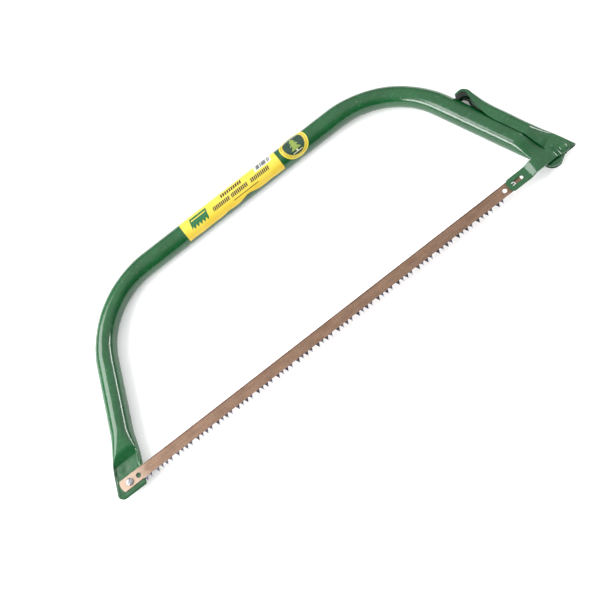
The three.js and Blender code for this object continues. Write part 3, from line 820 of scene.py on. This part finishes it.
def lever_ring(centre, inward, depth, half, corner, steps=9):
    def line(offset):
        radius = max(min(corner, depth) - offset, 0.4)
        points = [(depth, half - offset)]
        for step in range(steps + 1):
            angle = step / steps * math.pi / 2
            points.append((offset + radius * (1 - math.sin(angle)),
                           half - offset - radius * (1 - math.cos(angle))))
        return points + [(inset, -height) for inset, height in reversed(points)]

    outline = line(0) + line(LEVER_WALL)[::-1]
    return [(centre.x + inward.x * inset, centre.y + inward.y * inset, MID_Z + height)
            for inset, height in outline]


def lever_trough(steps=8):
    along = Vector((-ALONG.x, ALONG.y))
    out = Vector((ALONG.y, ALONG.x))
    spine = [Vector(PIVOT) + along * row[0] + out * row[1] for row in LEVER_STATIONS]
    last = len(spine) - 1

    def spot(position):
        index = min(int(position), last - 1)
        return through(spine, index, position - index)

    rings = []
    for step in range(last * steps + 1):
        position = step / steps
        index = min(int(position), last - 1)
        depth, half, corner = (
            lerp(LEVER_STATIONS[index][k], LEVER_STATIONS[index + 1][k], position - index) for k in (2, 3, 4)
        )
        tangent = spot(min(position + 0.01, last)) - spot(max(position - 0.01, 0))
        tangent.normalize()
        rings.append(lever_ring(spot(position), Vector((-tangent.y, tangent.x)), depth, half, corner))
    return piece("lever", *skin(rings), lever_paint)


def lever_ear(name, low, high):
    radius = LEVER_EAR_RADIUS
    outline = [(PIVOT[0] + 16, LEVER_END_Y)]
    outline += arc(PIVOT, radius, math.degrees(-1.25), math.degrees(2.2 - 2 * math.pi), 60)
    outline.append((PIVOT[0] + 12, PIVOT[1] + 12))
    return slab(name, outline, low, high, lever_paint)


def tension_lever():
    made = lever_trough()
    x, y = PIVOT[0] + 20, LEVER_END_Y
    below = slab("below", [(x - 60, y - 60), (x + 60, y - 60), (x + 60, y), (x - 60, y)], -5, 35)
    combine(made, "DIFFERENCE", below)
    top, bottom = MID_Z + PLATE_HALF, MID_Z - PLATE_HALF
    combine(made, "UNION", lever_ear("ear_top", top - LEVER_WALL, top),
            lever_ear("ear_bottom", bottom, bottom + LEVER_WALL))
    round_edges(made, 0.3, 38)
    return settle(made, "lever", "lever_paint", "tension_lever")


# ---------------------------------------------------------------- strap

STRAP_THICK = 2
STRAP_HALF = 9
STRAP_NOSE_X = BLADE_SPAN - 7.5
STRAP_NOSE_Z = BLADE_TOP + 0.4
STRAP_BRIDGE_Z = MID_Z + 9
STRAP_REST_Z = MID_Z + PLATE_HALF + 0.3
STRAP_RISE = (623, 631.5)
STRAP_FALL = (661.5, 668.5)
STRAP_SLOT = (598, 615)


def blend_corners(points, radius, steps=6):
    """The open line through the points, with each inner corner rounded."""
    line = [Vector(points[0])]
    for before, corner, after in zip(points, points[1:], points[2:]):
        corner = Vector(corner)
        back, on = Vector(before) - corner, Vector(after) - corner
        reach = min(radius, back.length / 2, on.length / 2)
        start, end = corner + back.normalized() * reach, corner + on.normalized() * reach
        for step in range(steps + 1):
            t = step / steps
            line.append(start * (1 - t) ** 2 + corner * 2 * t * (1 - t) + end * t * t)
    line.append(Vector(points[-1]))
    return line


def blade_strap():
    end = STRAP_PIN[0] + STRAP_HALF
    middle = [
        (STRAP_NOSE_X, STRAP_NOSE_Z), (STRAP_RISE[0], STRAP_NOSE_Z), (STRAP_RISE[1], STRAP_BRIDGE_Z),
        (STRAP_FALL[0], STRAP_BRIDGE_Z), (STRAP_FALL[1], STRAP_REST_Z), (end, STRAP_REST_Z),
    ]
    line = blend_corners(middle, 1.8)
    rings = []
    for side in (-STRAP_HALF, STRAP_HALF):
        rings.append([(p.x, side, p.y) for p in line]
                     + [(p.x, side, p.y + STRAP_THICK) for p in reversed(line)])
    made = piece("strap", *skin(rings), lever_paint)
    nose, lift = 5, STRAP_PIN[1]
    outline = [(STRAP_NOSE_X + nose, -STRAP_HALF), (STRAP_RISE[1], -STRAP_HALF)]
    outline += arc((STRAP_PIN[0], lift), STRAP_HALF - 0.3, -90, 90, 24)
    outline += [(STRAP_RISE[1], STRAP_HALF)]
    outline += arc((STRAP_NOSE_X + nose, STRAP_HALF - nose), nose, 90, 180, 8)
    outline += arc((STRAP_NOSE_X + nose, -STRAP_HALF + nose), nose, 180, 270, 8)[:-1]
    combine(made, "INTERSECT", slab("plan", outline, MID_Z, 2 * TUBE_RADIUS))
    half = 2.6
    slot = arc((STRAP_SLOT[1] - half, 0), half, -90, 90, 12)
    slot += [(STRAP_SLOT[0], half), (STRAP_SLOT[0], -half)]
    combine(made, "DIFFERENCE", slab("slot", slot, MID_Z, 2 * TUBE_RADIUS))
    round_edges(made, 0.4, 38)
    return settle(made, "strap", "lever_paint", "blade_strap")


def strap_tongue():
    """The tongue lanced out of the slot: it runs down through the blade's end hole."""
    start, top = STRAP_SLOT[0], STRAP_NOSE_Z + STRAP_THICK
    line = blend_corners([
        (start - 1.2, top - 0.7), (start + 1.6, top - 0.9),
        (start + 3.1, STRAP_NOSE_Z), (start + 3.1, BLADE_Z - 0.1),
    ], 1.2)
    half, thick = 1.3, 0.6
    rings = []
    for side in (-half, half):
        over, under = [], []
        for index, point in enumerate(line):
            ahead = line[min(index + 1, len(line) - 1)] - line[max(index - 1, 0)]
            normal = Vector((-ahead.y, ahead.x)).normalized() * thick
            over.append((point.x + normal.x, side, point.y + normal.y))
            under.append((point.x - normal.x, side, point.y - normal.y))
        rings.append(over + under[::-1])
    made = piece("tongue", *skin(rings), lever_paint)
    round_edges(made, 0.2, 38)
    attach(made, "strap")
    return made


# ---------------------------------------------------------------- label and sticker


def wrapped(name, cells, material, node, lift=None, flat_from=math.inf):
    """Thin paper on the top bar, from rows of (x, round) points. Past flat_from it stands off straight."""
    inner, outer = TUBE_RADIUS + 0.06, TUBE_RADIUS + 0.24
    rows, columns = len(cells), len(cells[0])

    def spot(x, v, radius):
        rise = lift(x, v) if lift else 0
        held = min(v, flat_from)
        angle = held / 15.3
        reach = v - held
        y = BAR_Y + (radius + rise) * math.sin(angle) + reach * math.cos(angle)
        z = MID_Z + (radius + rise) * math.cos(angle) - reach * math.sin(angle)
        return x, y, z

    points = [spot(x, v, outer) for row in cells for x, v in row]
    points += [spot(x, v, inner) for row in cells for x, v in row]
    under = rows * columns
    faces = []
    for r in range(rows - 1):
        for c in range(columns - 1):
            a, b = r * columns + c, r * columns + c + 1
            d, e = a + columns, b + columns
            faces.append((a, b, e, d))
            faces.append((under + a, under + d, under + e, under + b))
    rim = [(r, 0) for r in range(rows)] + [(rows - 1, c) for c in range(1, columns)]
    rim += [(r, columns - 1) for r in range(rows - 2, -1, -1)] + [(0, c) for c in range(columns - 2, 0, -1)]
    flat = [r * columns + c for r, c in rim]
    for index, a in enumerate(flat):
        b = flat[(index + 1) % len(flat)]
        faces.append((a, b, under + b, under + a))
    return settle(piece(name, points, faces, material, 50), "frame", "label_paper", node)


def product_label():
    def lower_edge(x):
        along = x - LABEL_LEFT
        return (-20.3 + 4.6 * math.exp(-((along - 97) / 13) ** 2)
                + 1.2 * math.exp(-((along - 63) / 7) ** 2) + 0.25 * math.sin(along / 5))

    def lift(x, v):
        along = x - LABEL_LEFT
        near = smoothstep(v, lower_edge(x) + 6, lower_edge(x))
        return near * (0.15 + 0.9 * math.exp(-((along - 97) / 16) ** 2))

    grid = []
    for row in range(57):
        part = row / 56
        cells = []
        for column in range(157):
            x = lerp(LABEL_LEFT, LABEL_RIGHT, column / 156)
            cells.append((x, lerp(lower_edge(x), 17.5, part)))
        grid.append(cells)
    return wrapped("label", grid, label_print(), "product_label", lift=lift)


def round_sticker():
    grid = []
    for row in range(49):
        v = -STICKER_RADIUS * math.cos(math.pi * row / 48)
        half = math.sqrt(max(STICKER_RADIUS**2 - v * v, 0.01))
        grid.append([(STICKER_X + half * lerp(-1, 1, column / 48), v) for column in range(49)])
    return wrapped("sticker", grid, sticker_print(), "round_sticker", flat_from=13.0)


# ---------------------------------------------------------------- studio


def studio():
    """A white floor, a sky that is brightest overhead, and three softboxes for the streaks in the paint."""
    bpy.ops.mesh.primitive_grid_add(x_subdivisions=2, y_subdivisions=2, size=12)
    floor = bpy.context.object
    floor.name = "studio_floor"
    floor.data.materials.append(floor_finish())

    world = bpy.data.worlds.new("studio")
    bpy.context.scene.world = world
    world.use_nodes = True
    tree = world.node_tree
    tree.nodes["Background"].inputs["Color"].default_value = (1, 1, 1, 1)
    direction = tree.nodes.new("ShaderNodeTexCoord").outputs["Generated"]
    split = tree.nodes.new("ShaderNodeSeparateXYZ")
    tree.links.new(direction, split.inputs[0])
    sky = tree.nodes.new("ShaderNodeMath")
    sky.operation = "MULTIPLY"
    ramps = ((split.outputs["Z"], 0.05, 0.85, 0.32, 1.15), (split.outputs["Y"], -0.8, -0.15, 0.3, 1.0))
    for socket, (height, low, high, dark, bright) in zip(sky.inputs, ramps):
        ramp = tree.nodes.new("ShaderNodeMapRange")
        ramp.interpolation_type = "SMOOTHSTEP"
        for key, value in (("From Min", low), ("From Max", high), ("To Min", dark), ("To Max", bright)):
            ramp.inputs[key].default_value = value
        tree.links.new(height, ramp.inputs["Value"])
        tree.links.new(ramp.outputs[0], socket)
    tree.links.new(sky.outputs[0], tree.nodes["Background"].inputs["Strength"])

    softbox("key_box", (-1.32, 0.74, 1.38), 1.7, 1.3, 42)
    softbox("left_strip", (-1.6, -0.34, 0.76), 1.2, 0.6, 28)
    softbox("right_strip", (1.6, -0.1, 0.9), 1.0, 0.26, 15)


def softbox(name, spot, width, height, power):
    """An area light that faces the middle of the saw."""
    data = bpy.data.lights.new(name, "AREA")
    data.shape = "RECTANGLE"
    data.size, data.size_y = width, height
    data.energy = power
    light = bpy.data.objects.new(name, data)
    light.location = spot
    light.rotation_euler = (-Vector(spot)).to_track_quat("-Z", "Y").to_euler()
    bpy.context.scene.collection.objects.link(light)


def camera():
    """The photograph's view: steeply down on the saw, turned so that the blade runs up to the right."""
    data = bpy.data.cameras.new("camera")
    data.lens = 70.11
    data.sensor_width = 36
    data.clip_end = 20
    made = bpy.data.objects.new("camera", data)
    back = Vector((-0.003085, -0.377514, 0.925999)).normalized()
    right = Vector((0.789998, -0.568656, -0.229200))
    right = (right - back * right.dot(back)).normalized()
    turn = Matrix((right, back.cross(right), back)).transposed()
    made.matrix_world = Matrix.Translation(place(299.18, -500.11, 1373.81)) @ turn.to_4x4()
    bpy.context.scene.collection.objects.link(made)
    bpy.context.scene.camera = made


camera()
studio()
frame_tube()
saw_blade()
blade_screw()
hex_nut()
washer()
tension_lever()
blade_strap()
strap_tongue()
rivet("pivot_rivet", PIVOT, MID_Z - PLATE_HALF - 0.3, MID_Z + PLATE_HALF + 0.3, 4.8, 1.8,
      "frame", "lever_rivet", "lever_paint")
rivet("pin_rivet", STRAP_PIN, MID_Z - PLATE_HALF - 0.3, STRAP_REST_Z + STRAP_THICK + 0.3, 6.2, 2.8,
      "lever", "strap_rivet", "lever_paint")
product_label()
round_sticker()
bpy.context.scene.view_settings.view_transform = "Standard"
